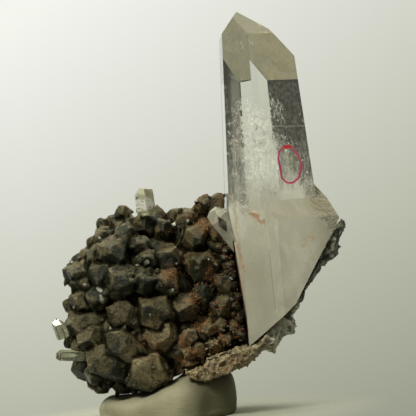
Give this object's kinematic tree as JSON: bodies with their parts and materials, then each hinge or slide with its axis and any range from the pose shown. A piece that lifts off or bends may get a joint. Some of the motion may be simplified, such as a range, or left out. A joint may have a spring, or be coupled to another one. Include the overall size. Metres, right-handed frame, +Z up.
{
  "type": "quartz on matrix",
  "caption": "Tall clear quartz point beside a rounded cluster of stubby dark crystals on a strip of host rock, standing in a lump of display putty.",
  "frame": {"origin": "middle of the putty's flat underside, where the specimen stands", "axes": "+Z up along the tall crystal, +X to the right and +Y away from the viewer of the pictured front"},
  "size_m": [0.075, 0.0334, 0.0989],
  "materials": {
    "clear_quartz": "glossy crystal faces, clear at the tip and milky towards the foot",
    "dark_quartz": "satin dark green-brown crystal faces with rust-coloured grains between them",
    "host_rock": "rough grey-green rock with a tan crust",
    "putty": "matte grey-beige mounting putty"
  },
  "bodies": {
    "root": {"main_crystal": "clear_quartz", "side_crystal": "clear_quartz", "top_crystal": "clear_quartz", "rim_crystal_upper": "clear_quartz", "rim_crystal_lower": "clear_quartz", "dark_cluster": "dark_quartz", "host_rock": "host_rock", "putty": "putty"}
  },
  "joints": []
}
